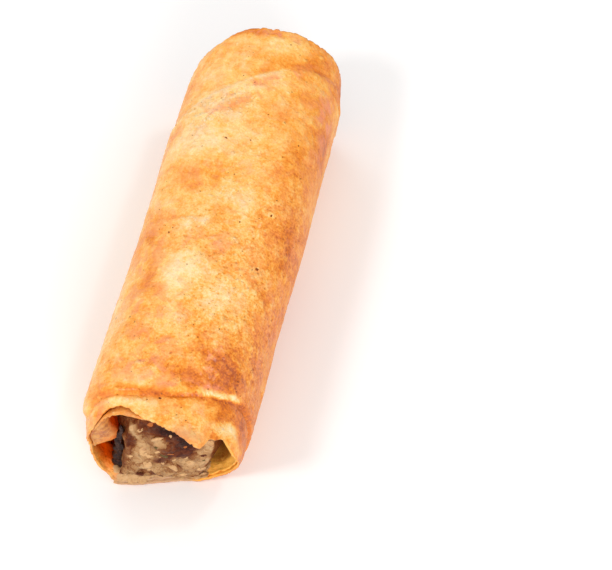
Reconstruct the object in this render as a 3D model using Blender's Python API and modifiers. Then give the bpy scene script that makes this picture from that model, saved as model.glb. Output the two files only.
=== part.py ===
"""Fried spring roll, cut from life: a thin pastry sheet rolled almost twice round a meat filling.

The roll lies along Y on a flat underside, with its mouth towards -Y. Both ends are open and show the
filling. Angles are measured round the roll from +X, anticlockwise as seen from the mouth, so 90 degrees
is the top and 180 the left side. Lengths are in millimetres until a point is placed.
"""

import math

import bmesh
import bpy
from mathutils import Vector

MM = 0.001

# The roll as a whole
ROLL_WIDTH = 28.9
ROLL_HEIGHT = 25.6
SECTION_EXPONENT = 2.5  # 2 is an ellipse, larger is boxier
FLAT_DEPTH = 0.9  # how much of the round underside is pressed flat
FLAT_EDGE = 0.3  # crust closer to the floor than this lies flat too
SHOULDER = 0.9  # the left side swells a little behind the mouth
SHOULDER_ANGLE = 170.0
SHOULDER_SPREAD = 45.0
SHOULDER_PLACE = -20.0
SHOULDER_LENGTH = 17.0

# The pastry sheet, rolled from an inner flap at the left to a seam underneath
PLY = 0.9
PLY_GAP = 0.3
PITCH = PLY + PLY_GAP
SEAM_ANGLE = 233.0
FLAP_END = 688.0  # degrees of sheet, counted inwards from the seam
FLAP_START = 652.0
FLAP_REACH = 3.6
DIVE_START = 340.0  # where a turn starts to slip beneath the seam
COARSE_STEP = 8.0
FINE_STEP = 3.5

# Edges of the sheet: (angle, distance along the roll)
FRONT_RIM = [
    (0, -38.5), (18, -39.8), (36, -38.3), (44, -39.4), (54, -42.9), (68, -42.0), (90, -40.8),
    (106, -40.0), (122, -38.4), (134, -39.3), (148, -42.0), (165, -42.0), (186, -41.4), (205, -40.9),
    (222, -41.5), (234, -42.4), (262, -40.8), (285, -39.0), (300, -38.2), (318, -37.2), (340, -37.5),
]
FAR_RIM = [
    (0, 42.2), (20, 45.2), (56, 46.4), (92, 46.1), (116, 44.9), (134, 42.2), (165, 38.9), (205, 39.6),
    (250, 42.4), (310, 42.0),
]
INNER_SETBACK = 1.3  # the inner turn stops this far behind the outer one
SETBACK_START = 330.0  # degrees of sheet between which it falls back
SETBACK_END = 400.0
FLAP_SETBACK = 4.0  # and the flap's tip this much further in

# Creases pressed round both ends, and the edge of the last turn across the far end
FRONT_CREASE = -35.9
FRONT_CREASE_SLANT = 0.8
CREASE_DEPTH = 0.75
CREASE_WIDTH = 1.1
LAST_TURN_EDGE = 31.5
LAST_TURN_SLANT = 9.0
LAST_TURN_RISE = 0.3
EDGE_SOFTNESS = 0.7

# How the mouth's section departs from the body's: (angle, distance outwards)
PINCH_START = -35.0
PINCH_END = -42.0
MOUTH_SHAPE = [
    (0, 0.0), (60, 0.0), (90, -0.2), (130, -0.5), (160, -1.6), (180, -1.8), (200, -0.8), (220, 0.3),
    (240, 0.4), (270, 0.0), (300, -1.0), (322, -1.9), (345, -0.7),
]

# Slow unevenness of a hand-rolled sheet: (height, lobes round the roll, run along it, start)
WAVES = [(0.28, 2, 13.0, 0.0), (0.22, 3, -9.0, 1.3), (0.14, 5, 6.5, 0.4)]
WAVES_FADE = (-0.98, -0.6)  # sine of the angles between which they die out over the underside

# Rows of the sheet between its rim, the three lines of the crease, the last turn's edge and its far rim
ROWS_BETWEEN = [2, 1, 1, 11, 1, 4]
SHEET_ROWS = sum(ROWS_BETWEEN) + 1

# The filling
FILLING_CLEARANCE = 0.3
FILLING_SEGMENTS = 36
FILLING_RINGS = 26
FACE_RINGS = 6
FRONT_FACE = -39.2
FAR_FACE = 41.0
FACE_BULGE = 1.2
FACE_LEAN = 1.6  # the face at the mouth reaches this much further out at its foot
FACE_SKEW = 0.2  # and falls back this much for each millimetre to the right
END_TAPER = 11.0  # length over which the filling shrinks towards an end
# Gap left between filling and wrapper at the mouth: (angle, width)
MOUTH_HOLLOW = [
    (0, 2.7), (30, 1.4), (60, 0.8), (90, 1.0), (122, 1.6), (140, 3.7), (160, 4.4), (201, 4.3),
    (214, 3.2), (228, 0.8), (240, 0.0), (310, 0.0), (330, 1.8),
]
FAR_HOLLOW = 1.8
FAR_HOLLOW_FADE = (-0.9, 0.0)  # sine of the angles between which it opens: the filling lies at the bottom
LUMP = 0.45
LUMP_SPACING = 1.8
SKIN_LUMP_SPACING = 3.1

WRAPPER_COLOUR = (0.83, 0.42, 0.12, 1.0)
FILLING_COLOUR = (0.30, 0.17, 0.10, 1.0)


def smooth(edge0, edge1, value):
    """0 before edge0, 1 after edge1, and a smooth ramp between them."""
    t = min(1.0, max(0.0, (value - edge0) / (edge1 - edge0)))
    return t * t * (3.0 - 2.0 * t)


def round_the_roll(points, angle):
    """Reads a smooth closed curve through (angle, value) points."""
    angle %= 360.0
    count = len(points)
    after = next((i for i, p in enumerate(points) if p[0] > angle), count)
    picked = []
    for k in (after - 2, after - 1, after, after + 1):
        turns, index = divmod(k, count)
        picked.append((points[index][0] + 360.0 * turns, points[index][1]))
    (a0, v0), (a1, v1), (a2, v2), (a3, v3) = picked
    t = (angle - a1) / (a2 - a1)
    start = (v2 - v0) / (a2 - a0) * (a2 - a1)
    end = (v3 - v1) / (a3 - a1) * (a2 - a1)
    hermite = (
        (2 * t**3 - 3 * t**2 + 1) * v1
        + (t**3 - 2 * t**2 + t) * start
        + (3 * t**2 - 2 * t**3) * v2
        + (t**3 - t**2) * end
    )
    return hermite


def front_crease(angle):
    return FRONT_CREASE - FRONT_CREASE_SLANT * math.cos(math.radians(angle - 200.0))


def last_turn_edge(angle):
    return LAST_TURN_EDGE + LAST_TURN_SLANT * math.cos(math.radians(angle - 20.0))


def relief(angle, y):
    """Height of the outermost surface over the smooth section."""
    groove = math.exp(-(((y - front_crease(angle)) / CREASE_WIDTH) ** 2))
    behind_crease = smooth(-EDGE_SOFTNESS, EDGE_SOFTNESS, y - front_crease(angle))
    before_edge = smooth(-EDGE_SOFTNESS, EDGE_SOFTNESS, last_turn_edge(angle) - y)
    return LAST_TURN_RISE * behind_crease * before_edge - CREASE_DEPTH * groove


def waviness(angle, y):
    """Slow unevenness, the same for every turn and none on the underside."""
    a = math.radians(angle)
    height = sum(size * math.sin(lobes * a + y / run + start) for size, lobes, run, start in WAVES)
    return height * smooth(*WAVES_FADE, math.sin(a))


def shoulder(angle, y):
    """Swelling of the left side behind the mouth."""
    off = (angle - SHOULDER_ANGLE + 180.0) % 360.0 - 180.0
    bell = (off / SHOULDER_SPREAD) ** 2 + ((y - SHOULDER_PLACE) / SHOULDER_LENGTH) ** 2
    return SHOULDER * math.exp(-bell)


def section_point(angle, y, depth):
    """Point of the roll's section at y, depth inside the outermost surface."""
    half_width = ROLL_WIDTH / 2 - depth
    half_height = ROLL_HEIGHT / 2 - depth
    cos, sin = math.cos(math.radians(angle)), math.sin(math.radians(angle))
    n = SECTION_EXPONENT
    radius = (abs(cos / half_width) ** n + abs(sin / half_height) ** n) ** (-1 / n)
    radius += waviness(angle, y) + shoulder(angle, y)
    radius += round_the_roll(MOUTH_SHAPE, angle) * smooth(PINCH_START, PINCH_END, y)
    x = radius * cos
    z = ROLL_HEIGHT / 2 - FLAT_DEPTH + radius * sin
    return x, z if z > depth + FLAT_EDGE else depth


def mouth_share(y):
    """1 at the filling's front face, fading to 0 inside the roll."""
    return 1.0 - smooth(FRONT_FACE, FRONT_FACE + END_TAPER, y)


def far_share(y):
    return smooth(FAR_FACE - END_TAPER, FAR_FACE, y)


def turns_outside(sheet_angle):
    """How many turns lie over this place of the sheet, counted inwards from the seam."""
    whole, rest = divmod(sheet_angle, 360.0)
    return whole + smooth(DIVE_START, 360.0, rest)


def sheet_angles():
    """Places of the sheet's columns, closer together where the inner flap curls."""
    count = round(FLAP_START / COARSE_STEP)
    coarse = [FLAP_START * k / count for k in range(count)]
    count = round((FLAP_END - FLAP_START) / FINE_STEP)
    fine = [FLAP_START + (FLAP_END - FLAP_START) * k / count for k in range(count + 1)]
    return coarse + fine


def row_place(angle, row):
    """Distance along the roll of a row of the outermost turn. Rows follow the crease and the edge."""
    crease, edge = front_crease(angle), last_turn_edge(angle)
    stations = [
        round_the_roll(FRONT_RIM, angle),
        crease - CREASE_WIDTH,
        crease,
        crease + CREASE_WIDTH,
        edge - EDGE_SOFTNESS,
        edge + EDGE_SOFTNESS,
        round_the_roll(FAR_RIM, angle),
    ]
    for start, end, rows in zip(stations, stations[1:], ROWS_BETWEEN):
        if row <= rows:
            return start + (end - start) * row / rows
        row -= rows
    return stations[-1]


def sheet_point(sheet_angle, row):
    """Middle of the sheet's thickness at a column and row, once rolled."""
    angle = SEAM_ANGLE + sheet_angle
    flap = smooth(FLAP_START, FLAP_END, sheet_angle)
    setback = INNER_SETBACK * smooth(SETBACK_START, SETBACK_END, sheet_angle) + FLAP_SETBACK * flap
    middle = (row_place(angle, 0) + row_place(angle, SHEET_ROWS - 1)) / 2
    reach = row_place(angle, SHEET_ROWS - 1) - middle
    y = middle + (row_place(angle, row) - middle) * (reach - setback) / reach
    turns = turns_outside(sheet_angle)
    depth = PLY / 2 + PITCH * turns - relief(angle, y) * max(0.0, 1.0 - turns)
    depth += FLAP_REACH * flap * mouth_share(y)
    x, z = section_point(angle, y, depth)
    return Vector((x, y, z)) * MM


def make_wrapper(collection):
    """Rolls a flat grid of pastry into the wrapper and gives it its thickness."""
    columns = sheet_angles()
    sheet = bmesh.new()
    bmesh.ops.create_grid(
        sheet, x_segments=len(columns) - 1, y_segments=SHEET_ROWS - 1, size=1.0
    )
    for vertex in sheet.verts:
        column = round((vertex.co.x + 1.0) / 2.0 * (len(columns) - 1))
        row = round((vertex.co.y + 1.0) / 2.0 * (SHEET_ROWS - 1))
        vertex.co = sheet_point(columns[column], row)
    wrapper = add_object("wrapper", sheet, collection)
    solidify = wrapper.modifiers.new("pastry thickness", "SOLIDIFY")
    solidify.thickness = PLY * MM
    solidify.offset = 0.0
    solidify.use_even_offset = True
    return wrapper


def hollow(angle, y):
    """Gap left between the filling and the wrapper towards the two ends."""
    at_mouth = max(0.0, round_the_roll(MOUTH_HOLLOW, angle))
    at_far_end = FAR_HOLLOW * smooth(*FAR_HOLLOW_FADE, math.sin(math.radians(angle)))
    return at_mouth * mouth_share(y) + at_far_end * far_share(y)


def filling_point(angle, share, y):
    """Point of the filling: share is 0 on its axis and 1 on its skin."""
    lump = LUMP * (1.0 + math.sin(math.radians(3 * angle) + y / SKIN_LUMP_SPACING)) / 2
    depth = 2 * PITCH + FILLING_CLEARANCE + hollow(angle, y) + lump
    skin_x, skin_z = section_point(angle, y, depth)
    x = share * skin_x
    z = ROLL_HEIGHT / 2 + share * (skin_z - ROLL_HEIGHT / 2)
    dome = FACE_BULGE * (1.0 - share * share)
    lumps = LUMP * math.sin(x / LUMP_SPACING + 0.7) * math.sin(z / LUMP_SPACING)
    return x, z, dome + lumps


def make_filling(collection):
    """Shapes a ball into the plug of filling, with an uneven face at each end."""
    ball = bmesh.new()
    bmesh.ops.create_uvsphere(
        ball, u_segments=FILLING_SEGMENTS, v_segments=FILLING_RINGS, radius=1.0
    )
    length = FAR_FACE - FRONT_FACE
    body_rings = FILLING_RINGS - 2 * FACE_RINGS
    for vertex in ball.verts:
        ring = round(math.acos(max(-1.0, min(1.0, -vertex.co.z))) / math.pi * FILLING_RINGS)
        angle = math.degrees(math.atan2(vertex.co.y, vertex.co.x))
        from_front = ring - FACE_RINGS
        if from_front < 0:
            share, y, side = ring / FACE_RINGS, FRONT_FACE, -1.0
        elif from_front > body_rings:
            share, y, side = (FILLING_RINGS - ring) / FACE_RINGS, FAR_FACE, 1.0
        else:
            share, y, side = 1.0, FRONT_FACE + length * from_front / body_rings, 0.0
        x, z, bulge = filling_point(angle, share, y)
        tilt = FACE_SKEW * x - FACE_LEAN * (1.0 - 2.0 * z / ROLL_HEIGHT)
        vertex.co = Vector((x, y + side * bulge + tilt * mouth_share(y), z)) * MM
    ball.normal_update()
    bmesh.ops.recalc_face_normals(ball, faces=ball.faces)
    return add_object("filling", ball, collection)


def add_object(name, shape, collection):
    mesh = bpy.data.meshes.new(name)
    shape.to_mesh(mesh)
    shape.free()
    mesh.shade_smooth()
    thing = bpy.data.objects.new(name, mesh)
    collection.objects.link(thing)
    return thing


def paint(thing, colour, roughness):
    material = bpy.data.materials.new(thing.name)
    material.use_nodes = True
    shader = material.node_tree.nodes["Principled BSDF"]
    shader.inputs["Base Color"].default_value = colour
    shader.inputs["Roughness"].default_value = roughness
    shader.inputs["Metallic"].default_value = 0.0
    thing.data.materials.append(material)


def centre_on_origin(things):
    """Moves the roll so that the middle of its underside is the origin."""
    bpy.context.view_layer.update()
    graph = bpy.context.evaluated_depsgraph_get()
    points = [
        thing.matrix_world @ vertex.co
        for thing in things
        for vertex in thing.evaluated_get(graph).data.vertices
    ]
    low = Vector(min(p[axis] for p in points) for axis in range(3))
    high = Vector(max(p[axis] for p in points) for axis in range(3))
    base = Vector(((low.x + high.x) / 2, (low.y + high.y) / 2, low.z))
    for thing in things:
        thing.location -= base


def main():
    for thing in list(bpy.data.objects):
        bpy.data.objects.remove(thing)
    collection = bpy.data.collections.new("spring_roll")
    bpy.context.scene.collection.children.link(collection)
    wrapper = make_wrapper(collection)
    paint(wrapper, WRAPPER_COLOUR, 0.45)
    filling = make_filling(collection)
    paint(filling, FILLING_COLOUR, 0.6)
    centre_on_origin([wrapper, filling])


main()
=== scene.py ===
import math
import random

import bpy
import numpy as np
from mathutils import Matrix, Vector, noise
from mathutils.bvhtree import BVHTree


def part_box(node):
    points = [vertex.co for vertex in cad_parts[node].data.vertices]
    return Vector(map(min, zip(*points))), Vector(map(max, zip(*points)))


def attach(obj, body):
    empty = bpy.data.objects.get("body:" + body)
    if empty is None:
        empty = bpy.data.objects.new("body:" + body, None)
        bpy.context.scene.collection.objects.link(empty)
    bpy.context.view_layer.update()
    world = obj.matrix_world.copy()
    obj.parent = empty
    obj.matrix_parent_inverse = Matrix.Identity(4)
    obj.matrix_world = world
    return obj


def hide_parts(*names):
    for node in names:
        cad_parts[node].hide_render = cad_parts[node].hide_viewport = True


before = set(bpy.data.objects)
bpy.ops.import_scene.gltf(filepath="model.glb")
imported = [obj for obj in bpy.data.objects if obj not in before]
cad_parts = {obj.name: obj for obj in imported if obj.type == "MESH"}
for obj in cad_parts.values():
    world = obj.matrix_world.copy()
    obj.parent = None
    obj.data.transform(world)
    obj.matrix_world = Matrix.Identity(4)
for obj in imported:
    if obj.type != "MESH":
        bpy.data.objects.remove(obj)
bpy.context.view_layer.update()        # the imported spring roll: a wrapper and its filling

mm = 0.001
rollShift = Vector((0.000155, -0.0017125, 0.0003))  # metres, from the roll's own axes to the frame's
random.seed(7)

# The roll lies along Y with its mouth towards -Y. Angles go round it from +X, anticlockwise as seen from
# the mouth, so 90 is the top and 180 the left side. Lengths are millimetres until points are placed.
rollForm = {
    "width": 28.9,
    "height": 25.6,
    "exponent": 2.5,
    "flatDepth": 0.9,
    "shoulder": 0.9,
    "shoulderAngle": 170.0,
    "shoulderSpread": 45.0,
    "shoulderPlace": -20.0,
    "shoulderLength": 17.0,
    "pinch": (-35.0, -42.0),
    "waves": [(0.28, 2, 13.0, 0.0), (0.22, 3, -9.0, 1.3), (0.14, 5, 6.5, 0.4)],
    "wavesFade": (-0.98, -0.6),
    "mouthShape": [
        (0, 0.0), (60, 0.0), (90, -0.2), (130, -0.5), (160, -1.6), (180, -1.8), (200, -0.8), (220, 0.3),
        (240, 0.4), (270, 0.0), (300, -1.0), (322, -1.9), (345, -0.7),
    ],
}

# The pastry sheet is rolled inwards from a seam underneath; its angle counts from that seam
sheetForm = {
    "ply": 0.9,
    "pitch": 1.2,
    "seamAngle": 233.0,
    "flapStart": 618.0,
    "flapEnd": 673.0,
    "flapReach": 4.2,
    "flapLift": 9.0,               # degrees its end rises by as it reaches inwards
    "flapFront": (0.5, 3.6),       # it leaves the wall at the rim and leans in behind it
    "flapFade": (-34.0, -25.0),
    "diveStart": 340.0,
    "setback": 0.5,
    "setbackSpan": (330.0, 400.0),
    "lip": 1.9,                    # the inner turn's edge peeps out past the outer one, top left
    "lipAngle": 124.0,
    "lipSpread": 17.0,
    "lipShare": 0.18,              # of the sheet's length that the lip fades over
    "length": 84.0,                # rough, between the cut edges
    "rimDepth": (2.0, 0.1),        # how far in from its cut edges the sheet thins, from and to
    "rimThinning": 0.55,
    "rimClosing": 0.72,            # and how much the turns close up there
    "crease": -35.9,
    "creaseSlant": 0.8,
    "creaseTurn": 200.0,
    "creaseBends": [(25.0, 45.0, 3.5), (156.0, 13.0, -2.4)],   # away from the mouth, then towards it
    "creaseDepth": 0.75,
    "creaseWidth": 0.6,
    "edge": 31.5,
    "edgeSlant": 9.0,
    "edgeTurn": 20.0,
    "edgeRise": 0.42,
    "edgeSoftness": 0.75,
    "frontRim": [
        (0, -38.6), (18, -40.1), (30, -39.8), (37, -39.2), (44, -40.1), (49, -40.6), (54, -42.9),
        (68, -42.0), (90, -40.8), (106, -40.0), (122, -38.4), (134, -39.3), (148, -42.0), (165, -42.0),
        (186, -41.4), (205, -40.9), (222, -41.5), (234, -42.4), (262, -40.8), (285, -39.0), (300, -38.2),
        (318, -37.2), (340, -37.5),
    ],
    "farRim": [
        (0, 42.2), (20, 45.2), (56, 46.4), (92, 46.1), (116, 44.9), (134, 42.2), (165, 38.9),
        (205, 39.6), (250, 42.4), (310, 42.0),
    ],
    # Columns of the mesh: (from, to, how many), closest together where the crust is seen
    "columns": [(0, 84, 26), (84, 330, 158), (330, 372, 14), (372, 618, 78), (618, 673, 32)],
    "rows": 156,
    "rowCrowding": 0.32,           # how much closer together the rows are at the two ends
}


def smooth(low, high, value):
    share = np.clip((value - low) / (high - low), 0.0, 1.0)
    return share * share * (3.0 - 2.0 * share)


def closedCurve(points, angle):
    # Smooth closed curve through (angle, value) points, read at many angles at once
    places = np.array([p[0] + turn for turn in (-360.0, 0.0, 360.0) for p in points])
    values = np.array([p[1] for p in points] * 3)
    slopes = (np.roll(values, -1) - np.roll(values, 1)) / (np.roll(places, -1) - np.roll(places, 1))
    angle = np.mod(angle, 360.0)
    at = np.searchsorted(places, angle, side="right") - 1
    gap = places[at + 1] - places[at]
    t = (angle - places[at]) / gap
    return (
        (2 * t**3 - 3 * t**2 + 1) * values[at] + (t**3 - 2 * t**2 + t) * slopes[at] * gap
        + (3 * t**2 - 2 * t**3) * values[at + 1] + (t**3 - t**2) * slopes[at + 1] * gap
    )


def apart(angle, other):
    # Signed difference of two angles, -180 to 180
    return (angle - other + 180.0) % 360.0 - 180.0


def creaseLine(angle):
    s = sheetForm
    line = s["crease"] - s["creaseSlant"] * np.cos(np.radians(angle - s["creaseTurn"]))
    for place, spread, off in s["creaseBends"]:
        line = line + off * np.exp(-((apart(angle, place) / spread) ** 2))
    return line


def edgeLine(angle):
    s = sheetForm
    return s["edge"] + s["edgeSlant"] * np.cos(np.radians(angle - s["edgeTurn"]))


def foldRelief(angle, y):
    # Crease pressed round the mouth, and the step where the last turn ends
    s = sheetForm
    groove = np.exp(-(((y - creaseLine(angle)) / s["creaseWidth"]) ** 2))
    behind = smooth(-s["edgeSoftness"], s["edgeSoftness"], y - creaseLine(angle))
    before = smooth(-s["edgeSoftness"], s["edgeSoftness"], edgeLine(angle) - y)
    uneven = 0.75 + 0.35 * np.sin(np.radians(angle) * 5.0 + 0.8) * np.sin(np.radians(angle) * 2.0)
    return s["edgeRise"] * behind * before - s["creaseDepth"] * uneven * groove


def sectionPoint(angle, y, depth):
    # Point of the roll's section at y, depth inside its outermost surface
    f = rollForm
    cos, sin = np.cos(np.radians(angle)), np.sin(np.radians(angle))
    wide = np.abs(cos / (f["width"] / 2 - depth)) ** f["exponent"]
    high = np.abs(sin / (f["height"] / 2 - depth)) ** f["exponent"]
    radius = (wide + high) ** (-1 / f["exponent"])
    wave = sum(
        size * np.sin(lobes * np.radians(angle) + y / run + start) for size, lobes, run, start in f["waves"]
    )
    radius = radius + wave * smooth(*f["wavesFade"], sin)
    off = apart(angle, f["shoulderAngle"]) / f["shoulderSpread"]
    along = (y - f["shoulderPlace"]) / f["shoulderLength"]
    radius = radius + f["shoulder"] * np.exp(-(off**2) - along**2)
    radius = radius + closedCurve(f["mouthShape"], angle) * smooth(*f["pinch"], y)
    return radius * cos, np.maximum(f["height"] / 2 - f["flatDepth"] + radius * sin, depth)


def turnsOutside(sheetAngle):
    whole, rest = np.divmod(sheetAngle, 360.0)
    return whole + smooth(sheetForm["diveStart"], 360.0, rest)


def nearRim(share):
    # 1 at the sheet's cut edges, falling to 0 where it has its full thickness
    fromEdge = sheetForm["length"] * np.minimum(share, 1.0 - share)
    return smooth(*sheetForm["rimDepth"], fromEdge)


def sheetPoint(sheetAngle, share):
    # Middle of the pastry's thickness, share 0 at the mouth's rim and 1 at the far one
    s = sheetForm
    angle = s["seamAngle"] + sheetAngle
    setback = s["setback"] * smooth(*s["setbackSpan"], sheetAngle)
    front, far = closedCurve(s["frontRim"], angle), closedCurve(s["farRim"], angle)
    middle, reach = (front + far) / 2, (far - front) / 2
    y = middle + reach * (2 * share - 1) * (reach - setback) / reach
    turns = turnsOutside(sheetAngle)
    lip = s["lip"] * np.exp(-((apart(angle, s["lipAngle"]) / s["lipSpread"]) ** 2)) * smooth(0.6, 1.0, turns)
    y = y - lip * smooth(s["lipShare"], 0.0, share) * smooth(1.6, 1.2, turns)
    depth = s["ply"] / 2 + s["pitch"] * turns - foldRelief(angle, y) * np.maximum(0.0, 1.0 - turns)
    depth = depth - s["rimClosing"] * np.minimum(turns, 1.0) * nearRim(share)
    leaning = smooth(s["flapStart"], s["flapEnd"], sheetAngle) * smooth(*s["flapFront"], y - front)
    leaning = leaning * (1.0 - smooth(*s["flapFade"], y))
    depth = depth + s["flapReach"] * leaning
    x, z = sectionPoint(angle - s["flapLift"] * leaning, y, depth)
    return np.stack([x, y, z], axis=-1)


def deselectAll():
    for thing in bpy.context.selected_objects:
        thing.select_set(False)


def makeActive(thing):
    deselectAll()
    thing.select_set(True)
    bpy.context.view_layer.objects.active = thing


def applyModifier(thing, kind, name, **settings):
    modifier = thing.modifiers.new(name, kind)
    for key, value in settings.items():
        setattr(modifier, key, value)
    makeActive(thing)
    bpy.ops.object.modifier_apply(modifier=modifier.name)


def readPoints(mesh):
    points = np.empty(len(mesh.vertices) * 3)
    mesh.vertices.foreach_get("co", points)
    return points.reshape(-1, 3)


def writePoints(mesh, points):
    mesh.vertices.foreach_set("co", np.asarray(points, np.float32).ravel())
    mesh.update()


def readNormals(mesh):
    normals = np.empty(len(mesh.vertices) * 3)
    mesh.vertex_normals.foreach_get("vector", normals)
    return normals.reshape(-1, 3)


def giveAttribute(mesh, name, values):
    layer = mesh.attributes.new(name, "FLOAT", "POINT")
    layer.data.foreach_set("value", np.asarray(values, np.float32))


def fractalNoise(points, size, octaves, roughness=0.9):
    # Noise about -1 to 1 with features of the given size
    return np.array([noise.fractal(Vector(p) / size, roughness, 2.0, octaves) for p in points])


def cellBumps(points, size, share, sharpness=1.0):
    # Round bumps about size apart; share of the cells have one, each of its own height
    heights = np.zeros(len(points))
    for index, point in enumerate(points):
        distances, centres = noise.voronoi(Vector(point) / size)
        chance = noise.cell(centres[0] * 7.3)
        if chance < share:
            bump = max(0.0, 1.0 - (distances[0] / 0.55) ** 2)
            heights[index] = bump**sharpness * (0.45 + 0.55 * chance / share)
    return heights


# Places where the crust's colour or surface differs: (angle, y, half width round the roll, half length
# along it, amount). Amounts of tone below 0 are creamier and above 0 browner.
crustPatches = {
    "tone": [
        (108, -9.6, 2.2, 2.6, -0.34), (111, -12.4, 1.8, 2.2, -0.26), (101, -13.4, 2.6, 2.2, -0.18),
        (96, -9, 2.6, 1.8, -0.14), (78, -14.2, 3.4, 3, -0.12), (112, -0.4, 0.85, 0.8, -0.24),
        (100, 0.8, 0.85, 0.8, -0.24), (86, 7, 5.5, 2.2, -0.12), (128, 24, 7, 9, -0.1),
        (71, 7.5, 3, 1.8, -0.16), (165, -24, 4, 6, -0.12), (146, -22, 2.8, 4.5, -0.1),
        (117, 19, 2.6, 2.2, -0.2), (103, 24.8, 2.6, 1, -0.34), (76, 22, 3.6, 3, -0.1),
        (118, 37, 15, 6.5, -0.17), (75, 43, 9, 2.4, -0.12), (108, -38.6, 9, 1.5, -0.12),
        (66, -40.8, 3, 1, -0.05), (108, -37.6, 8, 0.9, -0.08), (24, -38, 3, 2, -0.14),
        (38, -37, 2, 1.1, -0.5), (43, -38.3, 1.5, 0.9, -0.45), (34, -36.3, 1.3, 0.8, -0.4),
        (125, -9.5, 3, 4, 0.12), (141, -3.5, 3.2, 3.4, 0.12), (151, 3, 3, 5, 0.1),
        (126, -16, 3, 3.4, 0.14), (126, -24, 5, 3.6, 0.12), (76, -25.5, 3.2, 2, 0.12),
        (79, -30.6, 4.6, 1.8, 0.3), (52, -28.5, 5, 4.6, 0.3), (131, 10.5, 3, 3, 0.14),
        (115, 9, 3.4, 2.2, 0.12), (57, 28.5, 6, 4.6, 0.16), (50, 40, 3, 5, 0.16),
        (50, -36.4, 1.4, 1, 0.12), (45, -36.4, 1, 1.4, 0.14), (46, -39.6, 1.6, 0.8, 0.12),
        (31, -34.5, 2.6, 2, 0.14), (48, 12, 3.5, 7, 0.1), (40, 2, 3, 4, 0.14), (22, 27, 3, 6, 0.3),
        (150, 12, 4, 18, -0.07), (51, -26, 4, 3, 0.1), (104, 44.6, 6, 0.9, 0.2), (96, 28, 3, 1.6, 0.08),
        (20, -39, 3, 1.8, -0.24),
    ],
    "pink": [
        (91, -4, 4.5, 2.2, 0.45), (111, -30.5, 4.2, 2.6, 0.6), (104, -23.5, 3.4, 4, 0.35),
        (28, 32, 2.8, 6, 0.9), (100, 44.9, 7, 0.8, 0.9), (150, -38, 6, 4, 0.35), (60, -31.8, 5, 0.8, 0.4),
        (160, 20, 4, 12, 0.3), (57, -37.2, 1.2, 1, 0.5), (140, -8, 4, 10, 0.3), (32, -15, 3, 14, 0.1),
        (118, -20, 4, 5, 0.3), (96, 12, 5, 3, 0.3),
    ],
    "flaky": [
        (110, 27, 4, 3, 1), (126, 23, 3, 5, 0.8), (90, 29.5, 4, 1.2, 0.7), (86, 8, 5, 2, 0.7),
        (104, 0, 4, 2, 0.8), (40, -37.5, 2.6, 1.8, 1), (75, -39.5, 5, 1.4, 0.6), (108, -36.8, 4, 0.8, 0.7),
        (110, -30, 3, 2, 0.6), (60, -22, 4, 5, 0.4), (82, 44, 8, 1, 0.5),
    ],
    "blister": [
        (112, -0.2, 0.9, 0.8, 0.24), (100, 0.8, 0.9, 0.8, 0.24), (72, 5.5, 0.8, 0.7, 0.2),
        (86, 6, 0.7, 0.6, 0.16), (150, -14, 1, 0.9, 0.2), (66, -14, 0.8, 0.8, 0.2),
    ],
    "juicy": [(66, -41.2, 3, 1.1, 0.6)],
    "rough": [
        (45, -22, 9, 12, 1), (60, -12, 7, 9, 0.8), (95, -2, 12, 12, 0.45), (40, 5, 6, 12, 0.6),
        (112, -26, 9, 9, 0.4), (88, -39, 14, 2, 0.35), (85, 22, 10, 8, 0.3),
    ],
}
# Colour that follows the two fold lines: (first angle, last angle, distance from the line towards the far
# end, half width, amount). The browner lines in the crease's groove are painted shade, and the cream lines
# on the ridge behind the crease at the right and along the last turn's edge are painted highlights.
creaseBands = {
    "tone": [
        (34, 88, -0.1, 0.32, 0.34), (92, 128, 0.8, 0.8, 0.26), (130, 150, 0.8, 0.8, 0.06),
        (36, 64, 0.5, 0.52, -0.8), (84, 150, -1.5, 0.9, -0.16), (92, 108, 0.1, 0.35, 0.3),
        (55, 84, 1.9, 0.5, 0.25),
    ],
    "pink": [(55, 98, 1.9, 0.5, 0.5), (34, 98, 0, 0.5, -0.3), (102, 150, 0.9, 1, -0.3)],
}
edgeBands = {
    "tone": [
        (72, 100, -0.1, 0.55, -0.28), (108, 140, 0.1, 0.8, -0.2), (60, 96, 1.2, 0.5, 0.16),
        (75, 125, -3, 0.5, -0.14),
    ],
    "pink": [(60, 112, -1.6, 0.9, 0.8), (62, 100, 1.1, 0.4, 0.3), (80, 135, -4.8, 1, 0.4)],
}
roundTheRoll = 0.235  # millimetres of crust to a degree, on average


def patchSum(name, angle, y):
    total = np.zeros(len(angle))
    for place, along, wide, long, amount in crustPatches[name]:
        across = apart(angle, place) * roundTheRoll / wide
        total += amount * np.exp(-(across**2) - ((y - along) / long) ** 2)
    # The bands waver a little
    waver = 0.14 * np.sin(angle * 0.21) + 0.1 * np.sin(angle * 0.53 + 1.0)
    for bands, line in ((creaseBands, creaseLine(angle)), (edgeBands, edgeLine(angle))):
        for first, last, off, wide, amount in bands.get(name, ()):
            within = smooth(first - 7, first + 5, angle % 360) * smooth(last + 7, last - 5, angle % 360)
            total += amount * within * np.exp(-(((y - line - off - waver) / wide) ** 2))
    return total


# Heights of what frying raises on the crust, in millimetres
crustRelief = {
    "blisterSize": 5.2,
    "blisterHeight": 0.22,
    "pimpleSize": 1.4,
    "pimpleHeight": 0.26,
    "grainSize": 0.9,
    "grainHeight": 0.13,
    "wrinkleWidth": 0.85,
    "wrinkleLength": 7.0,
    "wrinkleHeight": 0.03,
    "gathered": 0.24,              # where the last turn's edge has puckered
    "innerSize": 1.3,
    "innerHeight": 0.09,
    "rimChips": 0.45,
    "rimChipSize": 0.9,
}


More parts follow.
